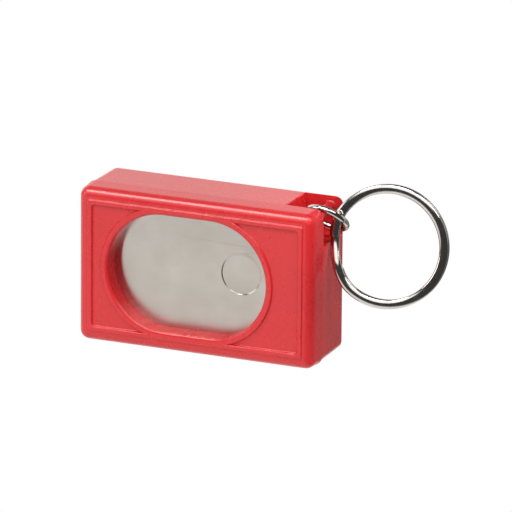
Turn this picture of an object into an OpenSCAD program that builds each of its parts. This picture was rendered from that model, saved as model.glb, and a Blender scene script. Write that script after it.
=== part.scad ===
// Key-ring box clicker: a two-part plastic box with a sprung steel tongue behind its window,
// a jump ring on a pin in the corner notch, and a split key ring on the jump ring.
// The box stands on one long narrow side. +X runs along the box towards the rings,
// -Y is the window face, +Z is up. The origin is the centre of the side it stands on.

/* [Box] */
// length of the box
box_length = 57; // [50:0.5:70]
// height of the box as it stands
box_height = 36; // [30:0.5:42]
// depth from the flat border of the front to the back
box_depth = 19.4; // [16:0.1:24]
// depth of the front cover, up to the parting line
cover_depth = 5.7; // [4.5:0.1:7]
// thickness of the plastic walls
wall = 1.8; // [1.4:0.1:2.4]
// radius of the corners and of the outer edges
corner_radius = 2.2; // [1.5:0.1:3]
// how much the cover narrows towards its front
cover_draft = 0.2; // [0:0.05:0.8]

/* [Front face] */
// half length of the raised bead, to its outer edge
bead_half_length = 25.95; // [24:0.05:27]
// half height of the raised bead, to its outer edge
bead_half_height = 15.3; // [14:0.05:16]
// width of the raised bead
bead_width = 1.2; // [0.8:0.05:2]
// height of the bead and the window rim over the border
bead_rise = 0.3; // [0.2:0.05:0.5]
// depth of the recessed panel under the border
panel_drop = 0.2; // [0.1:0.05:0.5]
// radius of the round ends of the window
window_radius = 13.5; // [11:0.1:14]
// length of the straight part of the window
window_straight = 11.1; // [8:0.1:16]
// distance of the window centre from the middle of the box
window_shift = -2; // [-4:0.1:0]
// height of the window centre over the middle of the box
window_rise = 0.2; // [0:0.1:0.5]
// width of the rim around the window
rim_width = 1.6; // [1:0.1:2]
// rounding of the window's front edge
rim_rounding = 0.7; // [0.4:0.1:1.2]

/* [Click tongue] */
// depth of the steel behind the bead
tongue_depth = 4.45; // [4:0.05:5]
// thickness of the steel
tongue_thickness = 0.35; // [0.25:0.05:0.5]
// diameter of the stamped dimple
dimple_diameter = 9.4; // [6:0.1:12]
// depth of the stamped dimple
dimple_depth = 0.65; // [0.3:0.05:1]
// distance of the dimple from the middle of the box
dimple_x = 9.5; // [5:0.1:12]
// height of the dimple over the middle of the box
dimple_y = 1.1; // [0:0.1:2]

/* [Corner notch] */
// length of the notch along the top
notch_length = 9.3; // [8:0.1:11]
// height of the notch down the end
notch_height = 8.8; // [8:0.1:10]
// radius of the pin that carries the jump ring
pin_radius = 1.2; // [1:0.05:1.5]
// distance of the pin from the end of the box
pin_from_end = 3.4; // [3:0.1:4]
// distance of the pin from the top of the box
pin_from_top = 3; // [2.6:0.1:3.6]

/* [Rings] */
// radius of the jump ring to the middle of its wire
jump_radius = 4.5; // [4:0.1:5]
// radius of the jump ring's wire
jump_wire = 0.75; // [0.6:0.05:0.9]
// radius of the split ring to the middle of its wire
split_radius = 12.75; // [12:0.05:14]
// width of the split ring's wire across the ring
split_width = 2.05; // [1.4:0.05:2.2]
// thickness of one turn of the split ring
split_thickness = 1.15; // [0.9:0.05:1.3]

/* [Hidden] */
$fn = 64;
eps = 0.01;

half_l = box_length / 2;
half_h = box_height / 2;
front = box_depth / 2;
back = -box_depth / 2;
part_line = front - cover_depth;
bead_top = front + bead_rise;
panel = front - panel_drop;
cover_inside = front - 1.5;
case_floor = back + wall;

// The steel plate, in the same depth coordinate as the box.
steel_front = bead_top - tongue_depth;
steel_back = steel_front - tongue_thickness;
tongue_hinge = 17.45;
tongue_end = -23.6;
tongue_half_height = 15;
root_end = 22.6;
hinge_gap = 0.05;

// Notch walls, pin and the posts and pegs inside.
notch_x = half_l - notch_length;
notch_y = half_h - notch_height;
notch_wall = 1.5;
pin_x = half_l - pin_from_end;
pin_y = half_h - pin_from_top;
post_x = 20.2;
post_ys = [-11, 3];
post_radius = 2.2;
rivet_radius = 0.9;
peg_radius = 1.2;
peg_places = [[-24.4, -13.9], [-24.4, 13.9], [24.4, -13.9]];
fit = 0.02;

// Where the rings hang while the box stands on its side.
jump_centre = [27.42, 0.56, 32.71];
jump_normal = [0.128, 0.67, 0.731];
split_centre = [41.5, 1.45, 27.68];
split_normal = [0.152, -0.968, 0.2];
split_pitch = 1.2;
split_edge = 0.35;
turn_in = 0.82;
inner_end = 208.5;
outer_end = 173.5;

// Moves a shape from face coordinates (x along, y up, z towards the front) into place.
module in_place() {
    translate([0, 0, half_h])
        rotate([90, 0, 0])
            children();
}

// Extrudes a flat shape between two depths.
module slab(z0, z1) {
    translate([0, 0, z0])
        linear_extrude(z1 - z0)
            children();
}

module round_rect(hx, hy, r) {
    square([2 * (hx - r), 2 * hy], center = true);
    square([2 * hx, 2 * (hy - r)], center = true);
    for (sx = [-1, 1])
        for (sy = [-1, 1])
            translate([sx * (hx - r), sy * (hy - r)])
                circle(r);
}

module stadium(r, straight) {
    square([straight, 2 * r], center = true);
    for (s = [-1, 1])
        translate([s * straight / 2, 0])
            circle(r);
}

// The hollow of the box, with the corner of the notch left solid.
module hollow() {
    difference() {
        round_rect(half_l - wall, half_h - wall, 1.2);
        translate([notch_x - notch_wall, notch_y - notch_wall])
            square(20);
    }
}

// Section of the window tool from its middle line, wider at the front where the rim's edge is round.
module window_section(inside) {
    difference() {
        translate([inside, steel_front - 1])
            square([window_radius + rim_rounding - inside, bead_top - steel_front + 2]);
        translate([window_radius + rim_rounding, bead_top - rim_rounding])
            circle(rim_rounding);
        translate([window_radius, steel_front - 2])
            square([rim_rounding + 1, bead_top - rim_rounding - steel_front + 2]);
    }
}

module window_tool() {
    for (s = [0, 1])
        mirror([s, 0, 0])
            translate([window_straight / 2, 0, 0])
                rotate([0, 0, -90])
                    rotate_extrude(angle = 180, $fn = 128)
                        window_section(0);
    translate([-window_straight / 2, 0, 0])
        rotate([90, 0, 90])
            linear_extrude(window_straight) {
                window_section(-1);
                mirror([1, 0])
                    window_section(-1);
            }
}

module cover_shell() {
    hull() {
        slab(part_line, part_line + 0.2)
            round_rect(half_l, half_h, corner_radius);
        for (sx = [-1, 1])
            for (sy = [-1, 1])
                translate([sx * (half_l - cover_draft - corner_radius),
                           sy * (half_h - cover_draft - corner_radius), front - corner_radius])
                    sphere(corner_radius, $fn = 48);
    }
}

module front_cover() {
    color("#cf2a2c")
        in_place()
            difference() {
                union() {
                    difference() {
                        cover_shell();
                        slab(panel, front + 1)
                            round_rect(bead_half_length, bead_half_height, 1.6);
                        slab(part_line - eps, cover_inside)
                            hollow();
                    }
                    slab(panel - 0.3, bead_top)
                        difference() {
                            round_rect(bead_half_length, bead_half_height, 1.6);
                            round_rect(bead_half_length - bead_width, bead_half_height - bead_width, 0.6);
                        }
                    slab(cover_inside - eps, bead_top)
                        translate([window_shift, window_rise])
                            stadium(window_radius + rim_width, window_straight);
                    slab(steel_front + 0.1, cover_inside)
                        translate([window_shift, window_rise])
                            stadium(window_radius + 1.4, window_straight);
                    for (p = peg_places)
                        translate([p[0], p[1], -0.5])
                            cylinder(r = peg_radius, h = cover_inside + 0.5 + eps);
                }
                translate([window_shift, window_rise, 0])
                    window_tool();
                translate([pin_x, pin_y, part_line - eps])
                    cylinder(r = 1 + fit, h = 2.5);
            }
}

// The case's outer shape, with a round edge all around the back.
module case_body() {
    r = corner_radius;
    slab(back + r, part_line)
        round_rect(half_l, half_h, r);
    slab(back, back + r + eps)
        square([2 * (half_l - r), 2 * (half_h - r)], center = true);
    for (s = [-1, 1]) {
        translate([s * (half_l - r), 0, back + r])
            rotate([90, 0, 0])
                cylinder(r = r, h = 2 * (half_h - r), center = true);
        translate([0, s * (half_h - r), back + r])
            rotate([0, 90, 0])
                cylinder(r = r, h = 2 * (half_l - r), center = true);
        for (t = [-1, 1])
            translate([s * (half_l - r), t * (half_h - r), back + r])
                sphere(r);
    }
}

module rear_case() {
    color("#cf2a2c")
        in_place()
            difference() {
                union() {
                    difference() {
                        case_body();
                        slab(case_floor, part_line + eps)
                            hollow();
                        slab(case_floor, part_line + eps)
                            translate([notch_x, notch_y])
                                square(20);
                        slab(part_line - 0.25, part_line + eps)
                            difference() {
                                square([box_length + 2, box_height + 2], center = true);
                                round_rect(half_l - 0.15, half_h - 0.15, corner_radius - 0.15);
                            }
                    }
                    translate([pin_x, pin_y, case_floor - eps])
                        cylinder(r = pin_radius, h = part_line - case_floor + eps);
                    translate([pin_x, pin_y, part_line - eps])
                        cylinder(r = 1, h = 2.4);
                    for (p = peg_places)
                        translate([p[0], p[1], case_floor - eps])
                            cylinder(r = 2, h = part_line - case_floor - 0.1);
                    for (y = post_ys)
                        translate([post_x, y, case_floor - eps])
                            cylinder(r = post_radius, h = steel_back - case_floor + eps);
                    for (s = [-1, 1])
                        slab(case_floor - eps, 2)
                            translate([-20.5, s * 8])
                                square([1.2, 8], center = true);
                }
                for (p = peg_places)
                    translate([p[0], p[1], -1])
                        cylinder(r = peg_radius + fit, h = 10);
                for (y = post_ys)
                    translate([post_x, y, 0.8])
                        cylinder(r = rivet_radius + fit, h = 10);
            }
}

// The clamped end of the steel strip.
module tongue_root() {
    x0 = tongue_hinge + hinge_gap / 2;
    color("#b9b4a8")
        in_place()
            slab(steel_back, steel_front)
                difference() {
                    translate([x0, -tongue_half_height])
                        square([root_end - x0, tongue_half_height + 7.2]);
                    for (y = post_ys)
                        translate([post_x, y])
                            circle(rivet_radius + fit);
                }
}

// The free part of the strip, which bends in and clicks.
module click_tongue() {
    x1 = tongue_hinge - hinge_gap / 2;
    r = 6;
    bowl = (pow(dimple_diameter / 2, 2) + pow(dimple_depth, 2)) / (2 * dimple_depth);
    color("#b9b4a8")
        in_place() {
            slab(steel_back, steel_front)
                difference() {
                    union() {
                        translate([tongue_end + r, -tongue_half_height])
                            square([x1 - tongue_end - r, 2 * tongue_half_height]);
                        translate([tongue_end, r - tongue_half_height])
                            square([r + eps, 2 * (tongue_half_height - r)]);
                        for (s = [-1, 1])
                            translate([tongue_end + r, s * (tongue_half_height - r)])
                                circle(r);
                    }
                    translate([dimple_x, dimple_y])
                        circle(dimple_diameter / 2 - 0.1);
                    translate([15.9, 7.4])
                        square(20);
                }
            translate([dimple_x, dimple_y, steel_front - dimple_depth + bowl])
                rotate_extrude()
                    intersection() {
                        difference() {
                            circle(bowl + tongue_thickness, $fn = 360);
                            circle(bowl, $fn = 360);
                        }
                        translate([0, -bowl - 1])
                            square([dimple_diameter / 2, 3]);
                    }
        }
}

// Two rivets that hold the root of the strip.
module tongue_rivets() {
    color("#c9c6be")
        in_place()
            for (y = post_ys)
                translate([post_x, y, 0]) {
                    translate([0, 0, 1])
                        cylinder(r = rivet_radius, h = steel_front - 1 + eps);
                    translate([0, 0, steel_front])
                        cylinder(r = 1.8, h = 0.3);
                    translate([0, 0, steel_front + 0.3])
                        cylinder(r1 = 1.8, r2 = 1.2, h = 0.4);
                }
}

module jump_ring() {
    n = jump_normal / norm(jump_normal);
    color("#c4c4c4")
        translate(jump_centre)
            rotate([0, acos(n[2]), atan2(n[1], n[0])])
                rotate_extrude()
                    translate([jump_radius, 0])
                        circle(jump_wire, $fn = 32);
}

// Smooth step from 0 to 1.
function ease(t) = let (c = min(1, max(0, t))) c * c * (3 - 2 * c);

// Distance in degrees from the flattened side of the split ring.
function off_side(a) = abs((a - 190 + 720 + 180) % 360 - 180);

// Radius and height of the wire's middle at an angle along the two turns.
function turn_radius(a) = split_radius - turn_in * (0.5 + 0.5 * cos(min(180, off_side(a) * 4)));
function turn_height(a) = split_pitch * (ease((a - 360 - outer_end) / (inner_end - outer_end)) - 0.5);

// Cross-section of the wire: a flat oval, as [across, along the axis].
section = [for (q = [[1, 1, 0], [-1, 1, 90], [-1, -1, 180], [1, -1, 270]])
    for (a = [0, 45, 90])
        [q[0] * (split_width / 2 - split_edge) + split_edge * cos(a + q[2]),
         q[1] * (split_thickness / 2 - split_edge) + split_edge * sin(a + q[2])]];

split_steps = 150;

module split_ring() {
    n = split_normal / norm(split_normal);
    level = cross([0, 0, 1], n);
    e1 = level / norm(level);
    e2 = cross(n, e1);
    from = inner_end;
    to = 720 + outer_end;
    k = len(section);
    points = [for (i = [0:split_steps])
        let (a = from + (to - from) * i / split_steps,
             out = e1 * cos(a) + e2 * sin(a))
        for (s = section)
            split_centre + out * (turn_radius(a) + s[0]) + n * (turn_height(a) + s[1])];
    sides = [for (i = [0:split_steps - 1])
        for (j = [0:k - 1])
            [i * k + j, i * k + (j + 1) % k, (i + 1) * k + (j + 1) % k, (i + 1) * k + j]];
    start = [for (j = [0:k - 1]) k - 1 - j];
    finish = [for (j = [0:k - 1]) split_steps * k + j];
    color("#c4c4c4")
        polyhedron(points, concat(sides, [start, finish]), convexity = 6);
}

front_cover();
rear_case();
tongue_root();
click_tongue();
tongue_rivets();
jump_ring();
split_ring();
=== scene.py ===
import math

import bmesh
import bpy
from mathutils import Matrix, Vector
from mathutils.geometry import tessellate_polygon

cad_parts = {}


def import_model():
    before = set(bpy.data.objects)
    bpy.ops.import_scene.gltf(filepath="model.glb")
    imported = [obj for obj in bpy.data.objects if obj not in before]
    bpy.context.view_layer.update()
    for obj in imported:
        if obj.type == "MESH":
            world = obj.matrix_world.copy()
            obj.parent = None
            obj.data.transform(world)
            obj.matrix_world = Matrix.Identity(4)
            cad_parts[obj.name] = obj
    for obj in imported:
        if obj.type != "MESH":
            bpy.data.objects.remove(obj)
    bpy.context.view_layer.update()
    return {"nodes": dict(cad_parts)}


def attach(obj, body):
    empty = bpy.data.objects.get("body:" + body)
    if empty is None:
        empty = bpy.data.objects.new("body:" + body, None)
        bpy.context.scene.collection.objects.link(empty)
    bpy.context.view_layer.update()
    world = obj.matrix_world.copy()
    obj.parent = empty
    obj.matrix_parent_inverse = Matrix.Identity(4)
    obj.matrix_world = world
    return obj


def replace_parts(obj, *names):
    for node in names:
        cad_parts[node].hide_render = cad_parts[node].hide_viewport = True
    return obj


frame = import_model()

# A box clicker on a key ring. Sizes are in millimetres, in the box's face coordinates:
# x along it, y up from mid-height, z towards the front. world() turns them into the frame's metres.
MM = 0.001

# the two mouldings
HALF_L, HALF_H = 28.5, 18.0            # half the length and half the height
FRONT, BACK, PART = 9.7, -9.7, 4.0     # front face, back face, parting line
ROUND, DRAFT = 2.2, 0.2                # outer edges, lean of the cover's wall
WALL, FRONT_WALL = 1.8, 1.5            # of the sides and back, and of the front
FLOOR = BACK + WALL
CASE_IN, CASE_DRAFT = 0.24, 0.16       # how far the case stands in from the cover, and its lean
SEAM = 0.25                            # height of the groove at the parting line
HOLLOW_R = 1.2                         # inner corners

# the cover's front: a bead round two recessed panels, and the window in its rim
BEAD_TOP, PANEL = FRONT + 0.3, FRONT - 0.2
BEAD_L, BEAD_H, BEAD_W = 25.95, 15.3, 1.2
BEAD_RUN, BEAD_OUT = 0.34, 0.06        # width of the bead's outer slope, and how far its foot is out
PANEL_RUN, PANEL_R = 0.32, 0.6         # width of the step down to a panel, and the panel's corners
WIN_R, WIN_STRAIGHT, WIN_X, WIN_Y = 13.5, 11.1, -2.0, 0.2
RIM_W, RIM_ROUND, LIP_W = 1.6, 0.7, 1.4

# the corner notch and the pin in it
NOTCH_X, NOTCH_Y = HALF_L - 9.3, HALF_H - 8.8
NOTCH_WALL, NOTCH_SOFT, NOTCH_R = 1.5, 0.25, 0.5
PIN_X, PIN_Y, PIN_R = HALF_L - 3.4, HALF_H - 3.0, 1.2
TIP_R, TIP_L = 1.0, 2.35               # the pin's thin end, in the cover's socket

# the steel strip: its front face, its outline with a step that clears the notch, and its dimple
STEEL, STEEL_T, STEEL_EDGE = BEAD_TOP - 4.45, 0.35, 0.04
STRIP_LEFT, STRIP_RIGHT, STRIP_H, STRIP_R = -23.6, 17.425, 15.0, 6.0
STEP_X, STEP_Y = 15.9, 7.4
DIMPLE_X, DIMPLE_Y = 9.5, 1.1
# (radius, depth) from the rim, with its raised lip, to the shallow middle
DIMPLE = ((4.95, 0.0), (4.88, -0.012), (4.80, -0.02), (4.72, -0.008), (4.66, 0.03), (4.58, 0.09),
          (4.5, 0.12), (4.42, 0.11), (4.34, 0.105), (4.2, 0.115), (3.4, 0.15), (2.4, 0.175), (1.2, 0.19))

# the rings, with centres and normals in the frame's directions
JUMP_CENTRE, JUMP_NORMAL = Vector((27.42, 0.56, 32.71)), Vector((0.128, 0.67, 0.731))
JUMP_R, JUMP_WIRE = 4.5, 0.75          # radius of the ring and of its wire
JUMP_GAP, JUMP_GAP_AT = 1.0, 200       # degrees
SPLIT_CENTRE, SPLIT_NORMAL = Vector((41.5, 1.45, 27.68)), Vector((0.152, -0.968, 0.2))
SPLIT_R, SPLIT_W, SPLIT_T, SPLIT_PITCH = 12.75, 2.05, 1.15, 1.2
SPLIT_START, SPLIT_END = 208.5, 173.5  # degrees; the end is two turns further on
FLAT_IN, FLAT_AT, FLAT_HALF = 0.82, 190, 45    # how far the turns bend in, at which angle, how far each way


def world(x, y, z):
    return Vector((x * MM, -z * MM, (y + HALF_H) * MM))


# ---------------------------------------------------------------- outlines and meshes

def arcs(corners, steps=8):
    """Closed outline through rounded corners (x, y, r); a corner of radius 0 is one point."""
    out = []
    for i, (x, y, r) in enumerate(corners):
        p = Vector((x, y))
        if r <= 0:
            out.append((x, y))
            continue
        a = (Vector(corners[i - 1][:2]) - p).normalized()
        b = (Vector(corners[(i + 1) % len(corners)][:2]) - p).normalized()
        half = math.acos(max(-1, min(1, a.dot(b)))) / 2
        start, end = p + a * (r / math.tan(half)), p + b * (r / math.tan(half))
        c = p + (a + b).normalized() * (r / math.sin(half))
        a0 = math.atan2(start.y - c.y, start.x - c.x)
        a1 = math.atan2(end.y - c.y, end.x - c.x)
        turn = (a1 - a0 + math.pi) % (2 * math.pi) - math.pi
        for k in range(steps + 1):
            t = a0 + turn * k / steps
            out.append((c.x + r * math.cos(t), c.y + r * math.sin(t)))
    return out


def circle(x, y, r, steps):
    turns = [2 * math.pi * k / steps for k in range(steps)]
    return [(x + r * math.cos(t), y + r * math.sin(t)) for t in turns]


def rounded_rect(hx, hy, r):
    r = max(r, 0.03)
    return arcs([(-hx, -hy, r), (hx, -hy, r), (hx, hy, r), (-hx, hy, r)])


def stadium(r, steps=56):
    """The window's outline, of radius r at its round ends."""
    out = []
    for side in (1, -1):
        for k in range(steps + 1):
            t = math.radians(-90 + 180 * k / steps) + (0 if side > 0 else math.pi)
            out.append((WIN_X + side * WIN_STRAIGHT / 2 + r * math.cos(t), WIN_Y + r * math.sin(t)))
    return out


def ease(t):
    t = min(1, max(0, t))
    return t * t * (3 - 2 * t)


def s_curve(run, rise, steps=6):
    """Points of a soft step, as (run, rise) pairs."""
    return [(run * k / steps, rise * ease(k / steps)) for k in range(steps + 1)]


def link(name, data):
    ob = bpy.data.objects.new(name, data)
    bpy.context.scene.collection.objects.link(ob)
    return ob


def shaded(name, bm, material, sharp):
    """Object from bm, smooth but for edges that turn by more than sharp degrees."""
    bmesh.ops.recalc_face_normals(bm, faces=bm.faces)
    mesh = bpy.data.meshes.new(name)
    bm.to_mesh(mesh)
    bm.free()
    for p in mesh.polygons:
        p.use_smooth = True
    mesh.set_sharp_from_angle(angle=math.radians(sharp))
    mesh.materials.append(material)
    return link(name, mesh)


def weighted(ob):
    """Normals that follow the large faces, so the flat ones look flat."""
    m = ob.modifiers.new("normals", "WEIGHTED_NORMAL")
    m.mode = "FACE_AREA"
    m.weight = 80
    m.keep_sharp = True


class Skin:
    """A mesh built from rings, strips between them and flat fills, in face coordinates."""

    def __init__(self):
        self.bm = bmesh.new()

    def ring(self, outline, z):
        return [self.bm.verts.new(world(x, y, z)) for x, y in outline]

    def loft(self, rings):
        """Faces from each ring to the next; all have as many points."""
        for a, b in zip(rings, rings[1:]):
            n = len(a)
            for i in range(n):
                self.bm.faces.new([a[i], a[(i + 1) % n], b[(i + 1) % n], b[i]])

    def fill(self, outer, *holes):
        """Flat face inside the ring outer, round any holes."""
        if not holes:
            self.bm.faces.new(outer)
            return
        loops = [outer, *holes]
        points = [v for loop in loops for v in loop]
        for tri in tessellate_polygon([[v.co for v in loop] for loop in loops]):
            self.bm.faces.new([points[i] for i in tri])

    def lathe(self, x, y, profile, steps):
        """Solid turned about the line through x, y. The profile's (radius, z) pairs start and end on it."""
        (_, low), *sides, (_, high) = profile
        rings = [self.ring(circle(x, y, r, steps), z) for r, z in sides]
        self.loft(rings)
        for z, ring in ((low, rings[0]), (high, rings[-1])):
            tip = self.bm.verts.new(world(x, y, z))
            for k in range(steps):
                self.bm.faces.new([ring[k], ring[(k + 1) % steps], tip])

    def object(self, name, material, sharp=32):
        bmesh.ops.remove_doubles(self.bm, verts=self.bm.verts, dist=2e-7)
        return shaded(name, self.bm, material, sharp)


# ---------------------------------------------------------------- node trees and materials

class Tree:
    """The node tree of a material or world. An input is given a value or another node's output."""

    def __init__(self, owner, empty=False):
        owner.use_nodes = True
        self.nodes, self.links = owner.node_tree.nodes, owner.node_tree.links
        if empty:
            self.nodes.clear()

    def feed(self, node, inputs):
        for name, value in inputs.items():
            if isinstance(value, bpy.types.NodeSocket):
                self.links.new(value, node.inputs[name])
            else:
                node.inputs[name].default_value = value

    def add(self, kind, inputs=None, **settings):
        node = self.nodes.new("ShaderNode" + kind)
        for name, value in settings.items():
            setattr(node, name, value)
        self.feed(node, inputs or {})
        return node.outputs

    def mapped(self, scale=(1, 1, 1)):
        coordinates = self.add("TexCoord")["Object"]
        return self.add("Mapping", {"Scale": scale, "Vector": coordinates})["Vector"]

    def noise(self, vector, scale, detail, rough=0.55):
        inputs = {"Scale": scale, "Detail": detail, "Roughness": rough, "Vector": vector}
        return self.add("TexNoise", inputs)["Fac"]

    def ramp(self, value, low, high):
        """Spreads the middle of a noise over low to high."""
        inputs = {"From Min": 0.3, "From Max": 0.7, "To Min": low, "To Max": high, "Value": value}
        return self.add("MapRange", inputs)["Result"]

    def step(self, value, zero_at, one_at):
        inputs = {"From Min": zero_at, "From Max": one_at, "Value": value}
        return self.add("MapRange", inputs, interpolation_type="SMOOTHSTEP")["Result"]

    def mix(self, factor, a, b):
        inputs = {"A": (*a, 1), "B": (*b, 1), "Factor": factor}
        return self.add("Mix", inputs, data_type="RGBA")["Result"]

    def bump(self, height, strength, distance):
        inputs = {"Strength": strength, "Distance": distance, "Height": height}
        return self.add("Bump", inputs)["Normal"]

    def dot(self, vector, other):
        return self.add("VectorMath", {0: vector, 1: other}, operation="DOT_PRODUCT")["Value"]

    def reduce(self, operation, first, *others):
        for value in others:
            first = self.add("Math", {0: first, 1: value}, operation=operation)[0]
        return first

    def product(self, *values):
        return self.reduce("MULTIPLY", *values)

    def sum(self, *values):
        return self.reduce("ADD", *values)


def material(name, build):
    """New material; build(tree) gives the inputs of its surface."""
    m = bpy.data.materials.new(name)
    tree = Tree(m)
    tree.feed(tree.nodes["Principled BSDF"], build(tree))
    return m


def red_plastic(tree):
    near = tree.mapped()
    cloud = tree.noise(near, 180, 5)
    grain = tree.noise(near, 1700, 2)
    return {
        "Base Color": tree.mix(tree.ramp(cloud, 0, 1), (0.605, 0.019, 0.024), (0.635, 0.022, 0.027)),
        "Roughness": tree.ramp(cloud, 0.26, 0.29),
        "IOR": 1.58,
        "Normal": tree.bump(grain, 0.02, 0.01 * MM),
        "Subsurface Weight": 0.12,
        "Subsurface Scale": 2 * MM,
        "Subsurface Radius": (1.0, 0.15, 0.12),
    }


def rolled_steel(tree):
    """Steel whose rolling lines run along the strip."""
    grain = tree.noise(tree.mapped((0.04, 1, 1)), 5200, 4)
    cloud = tree.noise(tree.mapped(), 110, 4)
    return {
        "Base Color": tree.mix(tree.ramp(cloud, 0, 1), (0.585, 0.545, 0.495), (0.655, 0.62, 0.575)),
        "Metallic": 1.0,
        "Roughness": tree.ramp(grain, 0.20, 0.24),
        "Anisotropic": 0.95,
        "Anisotropic Rotation": 0.25,
        "Normal": tree.bump(grain, 0.03, 0.01 * MM),
    }


def nickel(tree):
    scuff = tree.noise(tree.mapped(), 900, 6, 0.65)
    return {
        "Base Color": tree.mix(tree.ramp(scuff, 0, 1), (0.64, 0.61, 0.58), (0.78, 0.76, 0.73)),
        "Metallic": 1.0,
        "Roughness": tree.ramp(scuff, 0.07, 0.16),
        "Specular Tint": (0.2, 0.19, 0.18, 1),
        "Normal": tree.bump(scuff, 0.15, 0.03 * MM),
    }


RED = material("red_plastic", red_plastic)
STEEL_MAT = material("rolled_spring_steel", rolled_steel)
NICKEL = material("nickel_wire", nickel)


# ---------------------------------------------------------------- the two mouldings

def hollow(end_r, corner_r):
    """Outline of the space inside. The last two radii are at the step round the notch."""
    hx, hy = HALF_L - WALL, HALF_H - WALL
    x, y = NOTCH_X - NOTCH_WALL, NOTCH_Y - NOTCH_WALL
    return arcs([(-hx, -hy, HOLLOW_R), (hx, -hy, HOLLOW_R), (hx, y, end_r), (x, y, corner_r),
                 (x, hy, end_r), (-hx, hy, HOLLOW_R)], 6)


def pocket(side, inset, steps=48):
    """Outline of the recessed panel left (-1) or right (1) of the window, moved in by inset."""
    r = WIN_R + RIM_W + inset
    hx, hy = BEAD_L - BEAD_W - inset, BEAD_H - BEAD_W - inset
    cx = WIN_X + side * WIN_STRAIGHT / 2
    corner = max(PANEL_R - inset, 0.1)
    low, high = math.asin((-hy - WIN_Y) / r), math.asin((hy - WIN_Y) / r)
    low_tip, high_tip = (cx + side * r * math.cos(t) for t in (low, high))
    # the last corner is left to the curve along the window, which starts there
    out = arcs([(low_tip, -hy, 0), (side * hx, -hy, corner), (side * hx, hy, corner),
                (high_tip, hy, 0)], 6)[:-1]
    for k in range(steps):
        t = high + (low - high) * k / steps
        out.append((cx + side * r * math.cos(t), WIN_Y + r * math.sin(t)))
    return out


def front_cover():
    s = Skin()
    # the wall, from a small chamfer at the parting line to the rounded front edge
    wall = ((0.1, ROUND - 0.1, 0), (0.02, ROUND, 0.04), (0, ROUND, 0.14), (0.05, ROUND, 0.6))
    rings = [s.ring(rounded_rect(HALF_L - inset, HALF_H - inset, r), PART + up) for inset, r, up in wall]
    flat_l, flat_h = HALF_L - DRAFT - ROUND, HALF_H - DRAFT - ROUND
    last_turn, steps = 85, 12
    for k in range(steps + 1):
        t = math.radians(last_turn * k / steps)
        r, foot = ROUND * math.cos(t), FRONT - ROUND + ROUND * math.sin(t)
        rings.append(s.ring(rounded_rect(flat_l + r, flat_h + r, r), foot))
    for d, h in s_curve(BEAD_RUN, BEAD_TOP - foot):
        rings.append(s.ring(rounded_rect(BEAD_L + BEAD_OUT - d, BEAD_H + BEAD_OUT - d, 0.5), foot + h))
    s.loft(rings)

    panel_edges = []
    for side in (-1, 1):
        loops = [s.ring(pocket(side, d - PANEL_RUN / 2), BEAD_TOP - h)
                 for d, h in s_curve(PANEL_RUN, BEAD_TOP - PANEL)]
        s.loft(loops)
        s.fill(loops[-1])
        panel_edges.append(loops[0])

    # the window's rounded rim, its wall and the lip behind it
    window = []
    for k in range(9):
        t = math.radians(90 * k / 8)
        window.append(s.ring(stadium(WIN_R + RIM_ROUND * (1 - math.sin(t))),
                             BEAD_TOP - RIM_ROUND + RIM_ROUND * math.cos(t)))
    lip, inside = STEEL + 0.04, FRONT - FRONT_WALL
    behind = ((WIN_R, lip), (WIN_R + LIP_W, lip), (WIN_R + LIP_W, inside))
    window += [s.ring(stadium(r), z) for r, z in behind]
    s.loft(window)
    s.fill(rings[-1], *panel_edges, window[0])

    top, bottom = (s.ring(hollow(0.3, 0.6), z) for z in (inside, PART))
    s.loft([top, bottom])
    s.fill(top, window[-1])
    s.fill(rings[0], bottom)
    ob = s.object("front_cover_moulding", RED)
    weighted(ob)
    return ob


def case_outline(inset, notch):
    """Outer outline of the case moved in by inset, with or without the corner notch."""
    hx, hy, r = HALF_L - inset, HALF_H - inset, max(ROUND - inset, 0.03)
    if notch:
        corner = [(hx, NOTCH_Y, NOTCH_SOFT), (NOTCH_X, NOTCH_Y, NOTCH_R), (NOTCH_X, hy, NOTCH_SOFT)]
    else:
        corner = [(hx, NOTCH_Y - NOTCH_SOFT, 0), (hx, hy, r), (NOTCH_X - NOTCH_SOFT, hy, 0)]
    return arcs([(-hx, -hy, r), (hx, -hy, r), *corner, (-hx, hy, r)])


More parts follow.
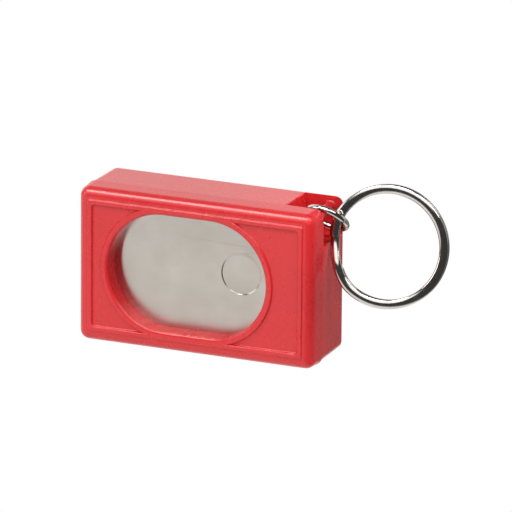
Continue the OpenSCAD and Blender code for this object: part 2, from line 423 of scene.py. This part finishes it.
def rear_case():
    s = Skin()

    def wall_in(z):
        return CASE_IN + CASE_DRAFT * (PART - SEAM - z) / (PART - BACK)

    def edge_ring(turn, notch):
        """Ring on the rounded back edge, turn radians up from the back face."""
        z = BACK + ROUND * (1 - math.cos(turn))
        return s.ring(case_outline(wall_in(z) + ROUND * (1 - math.sin(turn)), notch), z)

    # the back and its edge, as far as the notch's floor
    floor_turn = math.acos((ROUND - WALL) / ROUND)
    turns = [math.radians(9 * k) for k in range(11)]
    lower = [edge_ring(t, False) for t in turns if t <= floor_turn] + [edge_ring(floor_turn, False)]
    s.loft(lower)
    s.fill(lower[0])

    # the rest of the edge and the wall, with the notch, up to the groove at the parting line
    upper = [edge_ring(floor_turn + (math.pi / 2 - floor_turn) * k / 3, True) for k in range(4)]
    groove = ((0.34, 0, 0.34), (0.3, 0.05, 0.27), (0, 0.22, SEAM), (0, 0.22, 0))
    for lean_at, deep, below in groove:
        upper.append(s.ring(case_outline(wall_in(PART - lean_at) + deep, True), PART - below))
    s.loft(upper)

    def at_notch(v):
        margin = NOTCH_SOFT + 0.01
        return v.co.x > (NOTCH_X - margin) * MM and v.co.z > (NOTCH_Y - margin + HALF_H) * MM

    outer, inner = ([v for v in ring if at_notch(v)] for ring in (lower[-1], upper[0]))
    s.fill(outer + inner[::-1])

    top, bottom = (s.ring(hollow(0.4, 0.8), z) for z in (PART, FLOOR))
    s.loft([top, bottom])
    s.fill(upper[-1], top)
    s.fill(bottom)
    ob = s.object("rear_case_moulding", RED)
    bevel = ob.modifiers.new("edges", "BEVEL")
    bevel.width = 0.14 * MM
    bevel.segments = 3
    bevel.limit_method = "ANGLE"
    bevel.angle_limit = math.radians(40)
    bevel.use_clamp_overlap = True
    weighted(ob)
    return ob


def pin():
    """The pin that carries the jump ring, rooted in the case, with its thin end in the cover."""
    flare = ((0.35, -0.3), (0.35, -0.001), (0.18, 0.06), (0.06, 0.2), (0, 0.4))
    root = [(PIN_R + out, FLOOR + up) for out, up in flare]
    shoulder = [(PIN_R - 0.02, PART - 0.3), (PIN_R - 0.08, PART - 0.12), (TIP_R, PART - 0.05)]
    tip = [(TIP_R, PART + TIP_L - 0.15), (TIP_R - 0.15, PART + TIP_L)]
    s = Skin()
    s.lathe(PIN_X, PIN_Y, [(0, FLOOR - 0.3), *root, *shoulder, *tip, (0, PART + TIP_L)], 48)
    return s.object("ring_pin", RED)


# ---------------------------------------------------------------- the steel strip

def tongue():
    def outline(d):
        left, right, low, high = STRIP_LEFT + d, STRIP_RIGHT - d, -STRIP_H + d, STRIP_H - d
        step_x, step_y = STEP_X - d, STEP_Y - d
        return arcs([(left, low, STRIP_R - d), (right, low, 0.05), (right, step_y, 0.05),
                     (step_x, step_y, 0.05), (step_x, high, 0.3), (left, high, STRIP_R - d)], 10)

    s = Skin()
    back = STEEL - STEEL_T
    levels = ((STEEL_EDGE, back), (0, back + STEEL_EDGE), (0, STEEL - STEEL_EDGE), (STEEL_EDGE, STEEL))
    rings = [s.ring(outline(d), z) for d, z in levels]
    s.loft(rings)
    for z, edge in ((STEEL, rings[-1]), (back, rings[0])):
        rows = [s.ring(circle(DIMPLE_X, DIMPLE_Y, r, 96), z - depth) for r, depth in DIMPLE]
        s.loft(rows)
        s.fill(rows[-1])
        s.fill(edge, rows[0])
    ob = s.object("click_tongue_plate", STEEL_MAT, 60)
    weighted(ob)
    return ob


# ---------------------------------------------------------------- rings

def ring_frame(normal):
    """The unit normal, and two directions across it from which angles are measured."""
    n = normal.normalized()
    e1 = Vector((0, 0, 1)).cross(n).normalized()
    return n, e1, n.cross(e1)


def end_cut(i, steps, first, second):
    """How much the section shrinks at a path's last two points, for a soft cut end."""
    end = min(i, steps - i)
    return first if end == 0 else second if end == 1 else 0


def coil(name, path, outward, normal, section):
    """Wire swept along path; section(i) gives its points there as (outward, along normal) pairs."""
    bm = bmesh.new()
    rows = []
    for i, (p, out) in enumerate(zip(path, outward)):
        rows.append([bm.verts.new((p + out * a + normal * b) * MM) for a, b in section(i)])
    n = len(rows[0])
    for a, b in zip(rows, rows[1:]):
        for k in range(n):
            bm.faces.new([a[k], a[(k + 1) % n], b[(k + 1) % n], b[k]])
    bm.faces.new(rows[0][::-1])
    bm.faces.new(rows[-1])
    return shaded(name, bm, NICKEL, 50)


def jump_ring():
    n, e1, e2 = ring_frame(JUMP_NORMAL)
    steps = 160
    gap, at = math.radians(JUMP_GAP), math.radians(JUMP_GAP_AT)
    angles = [at + gap / 2 + (2 * math.pi - gap) * i / steps for i in range(steps + 1)]
    outward = [e1 * math.cos(a) + e2 * math.sin(a) for a in angles]
    path = [JUMP_CENTRE + out * JUMP_R for out in outward]

    def section(i):
        return circle(0, 0, JUMP_WIRE - end_cut(i, steps, 0.12, 0.03), 28)

    return coil("jump_ring_wire", path, outward, n, section)


def split_ring():
    n, e1, e2 = ring_frame(SPLIT_NORMAL)
    steps = 620
    angles = [SPLIT_START + (720 + SPLIT_END - SPLIT_START) * i / steps for i in range(steps + 1)]
    outward = [e1 * math.cos(math.radians(a)) + e2 * math.sin(math.radians(a)) for a in angles]

    def reach(a):
        """Radius at angle a, less where the turns bend in."""
        off = abs((a - FLAT_AT + 900) % 360 - 180)
        return SPLIT_R - FLAT_IN * (0.5 + 0.5 * math.cos(math.radians(min(180, off * 180 / FLAT_HALF))))

    def height(a):
        """One turn lies on the other, with the step between them from the end to the start."""
        return SPLIT_PITCH * (ease((a - 360 - SPLIT_END) / (SPLIT_START - SPLIT_END)) - 0.5)

    def section(i, points=32, power=0.88):
        size = 1 - end_cut(i, steps, 0.10, 0.03)
        return [(SPLIT_W / 2 * size * math.copysign(abs(x) ** power, x),
                 SPLIT_T / 2 * size * math.copysign(abs(y) ** power, y)) for x, y in circle(0, 0, 1, points)]

    path = [SPLIT_CENTRE + out * reach(a) + n * height(a) for a, out in zip(angles, outward)]
    return coil("split_ring_coils", path, outward, n, section)


cover = front_cover()
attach(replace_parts(cover, "front_cover"), "box")
case = rear_case()
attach(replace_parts(case, "rear_case"), "box")
peg = pin()
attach(peg, "box")
plate = tongue()
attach(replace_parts(plate, "click_tongue"), "tongue")
jump = jump_ring()
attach(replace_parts(jump, "jump_ring"), "jump_ring")
split = split_ring()
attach(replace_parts(split, "split_ring"), "split_ring")
for name in ("tongue_root", "tongue_rivets"):
    slots = frame["nodes"][name].data.materials
    slots.clear()
    slots.append(STEEL_MAT)


# ---------------------------------------------------------------- stage, light and camera

scene = bpy.context.scene
WHITE, WARM = (1, 1, 1, 1), (1, 0.985, 0.965, 1)


def direction(azimuth, elevation):
    """Unit vector to a place in the room: azimuth from the front (-Y) towards +X."""
    a, e = math.radians(azimuth), math.radians(elevation)
    return Vector((math.sin(a) * math.cos(e), -math.cos(a) * math.cos(e), math.sin(e)))


def pale_floor():
    """White to the camera. As a light on the object it is pale, with painted shade that turns it dark beyond
    the box's right end.
    """
    m = bpy.data.materials.new("pale_floor")
    tree = Tree(m, empty=True)
    x = tree.add("SeparateXYZ", {0: tree.add("TexCoord")["Object"]})["X"]
    # painted shade: the floor turns dark beyond the box's right end, standing in for weaker light on that
    # side
    painted_shade_colour = tree.mix(tree.step(x, 45 * MM, 75 * MM), (0.82, 0.81, 0.79), (0.05, 0.045, 0.04))
    seen = tree.add("LightPath")["Is Camera Ray"]
    paint = tree.add("BsdfDiffuse", {"Color": painted_shade_colour})[0]
    white = tree.add("Emission", {"Color": WHITE})[0]
    tree.add("OutputMaterial", {"Surface": tree.add("MixShader", {0: seen, 1: paint, 2: white})[0]})
    return m


def studio_world():
    """White to the camera. As a light: a band behind, the lit table at the left, and two soft patches."""
    room = bpy.data.worlds.new("studio")
    scene.world = room
    tree = Tree(room, empty=True)
    towards = tree.add("TexCoord")["Generated"]
    xyz = tree.add("SeparateXYZ", {0: towards})
    x, y, z = xyz["X"], xyz["Y"], xyz["Z"]

    def patch(azimuth, elevation, inner, outer, strength):
        """Round patch with a soft edge from inner to outer, in degrees from its middle."""
        nearness = tree.dot(towards, direction(azimuth, elevation))
        edge = tree.step(nearness, math.cos(math.radians(outer)), math.cos(math.radians(inner)))
        return tree.product(edge, strength)

    low_left = tree.step(tree.dot(towards, (-0.75, 0, -0.66)), 0.12, 0.38)
    table = tree.product(low_left, tree.step(z, 0.02, -0.12), 0.88)
    behind = tree.product(tree.step(y, 0.1, 0.5), tree.step(z, 0.62, 0.42))
    dimmer_below = tree.sum(tree.product(tree.step(z, -0.12, 0.05), 0.65), 0.35)
    dimmer_right = tree.sum(tree.product(x, -0.35), 1.0)
    band = tree.product(behind, dimmer_below, dimmer_right, 0.84)
    total = tree.sum(band, table, patch(-5, 52, 27, 34, 1.35), patch(-115, 25, 20, 45, 0.7), 0.05)

    seen = tree.add("LightPath")["Is Camera Ray"]
    lighting = tree.add("Background", {"Color": WARM, "Strength": total})[0]
    backdrop = tree.add("Background", {"Color": WHITE})[0]
    tree.add("OutputWorld", {"Surface": tree.add("MixShader", {0: seen, 1: lighting, 2: backdrop})[0]})


def aimed(ob, target, azimuth, elevation, distance):
    """Places the light ob in that direction from target, facing it and unseen by the camera."""
    ob.location = target + direction(azimuth, elevation) * distance
    ob.rotation_euler = (target - ob.location).to_track_quat("-Z", "Y").to_euler()
    ob.visible_camera = False
    return ob


def softbox(name, azimuth, elevation, distance, size, radiance):
    light = bpy.data.lights.new(name, "AREA")
    light.shape = "DISK"
    light.size = size
    light.energy = radiance * math.pi * math.pi * size * size / 4
    return aimed(link(name, light), Vector((0.005, 0, 0.018)), azimuth, elevation, distance)


def notch_kicker():
    """A narrow light through the open end of the corner notch."""
    light = bpy.data.lights.new("notch_kicker", "SPOT")
    light.energy = 10
    light.spot_size = math.radians(2.6)
    light.spot_blend = 0.9
    light.shadow_soft_size = 0.01
    ob = aimed(link("notch_kicker", light), Vector((0.0215, 0.001, 0.0310)), 70, 26, 0.5)
    ob.visible_glossy = False


def long_lens_camera():
    """The photograph's view: a long lens from about 1.7 m, turned a little so the box lies off centre."""
    data = bpy.data.cameras.new("camera")
    data.sensor_width, data.lens = 36, 527.34375
    data.clip_start, data.clip_end = 0.05, 20
    back, roll = direction(23.3666, 17.3137), math.radians(-0.3436)
    level = (-back).cross(Vector((0, 0, 1))).normalized()
    plumb = (-back).cross(level)
    right = level * math.cos(roll) + plumb * math.sin(roll)
    down = plumb * math.cos(roll) - level * math.sin(roll)
    look_right, look_up = 0.00593467, 0.00148467
    forward = (right * look_right - down * look_up - back).normalized()
    right = (right - forward * right.dot(forward)).normalized()
    turn = Matrix((right, right.cross(forward), -forward)).transposed().to_4x4()
    turn.translation = Vector((630.4, -1459.2, 513.5)) * MM
    ob = link("camera", data)
    ob.matrix_world = turn
    scene.camera = ob


sheet = bmesh.new()
sheet.faces.new([sheet.verts.new((x, y, -0.1 * MM)) for x, y in ((-3, -3), (3, -3), (3, 3), (-3, 3))])
floor_mesh = bpy.data.meshes.new("floor")
sheet.to_mesh(floor_mesh)
sheet.free()
floor_mesh.materials.append(pale_floor())
floor = link("floor", floor_mesh)
floor.visible_glossy = False

studio_world()
softbox("key_softbox", -42, 55, 0.8, 0.24, 14)
softbox("left_softbox", -56, 18, 0.9, 0.5, 2.2)
softbox("camera_fill", 36, 12, 0.9, 0.5, 3.8).visible_glossy = False
softbox("right_softbox", 66, 50, 0.9, 0.5, 3.6)
softbox("top_softbox", 8, 62, 0.8, 0.3, 9).visible_diffuse = False
notch_kicker()
long_lens_camera()
scene.view_settings.view_transform = "Standard"
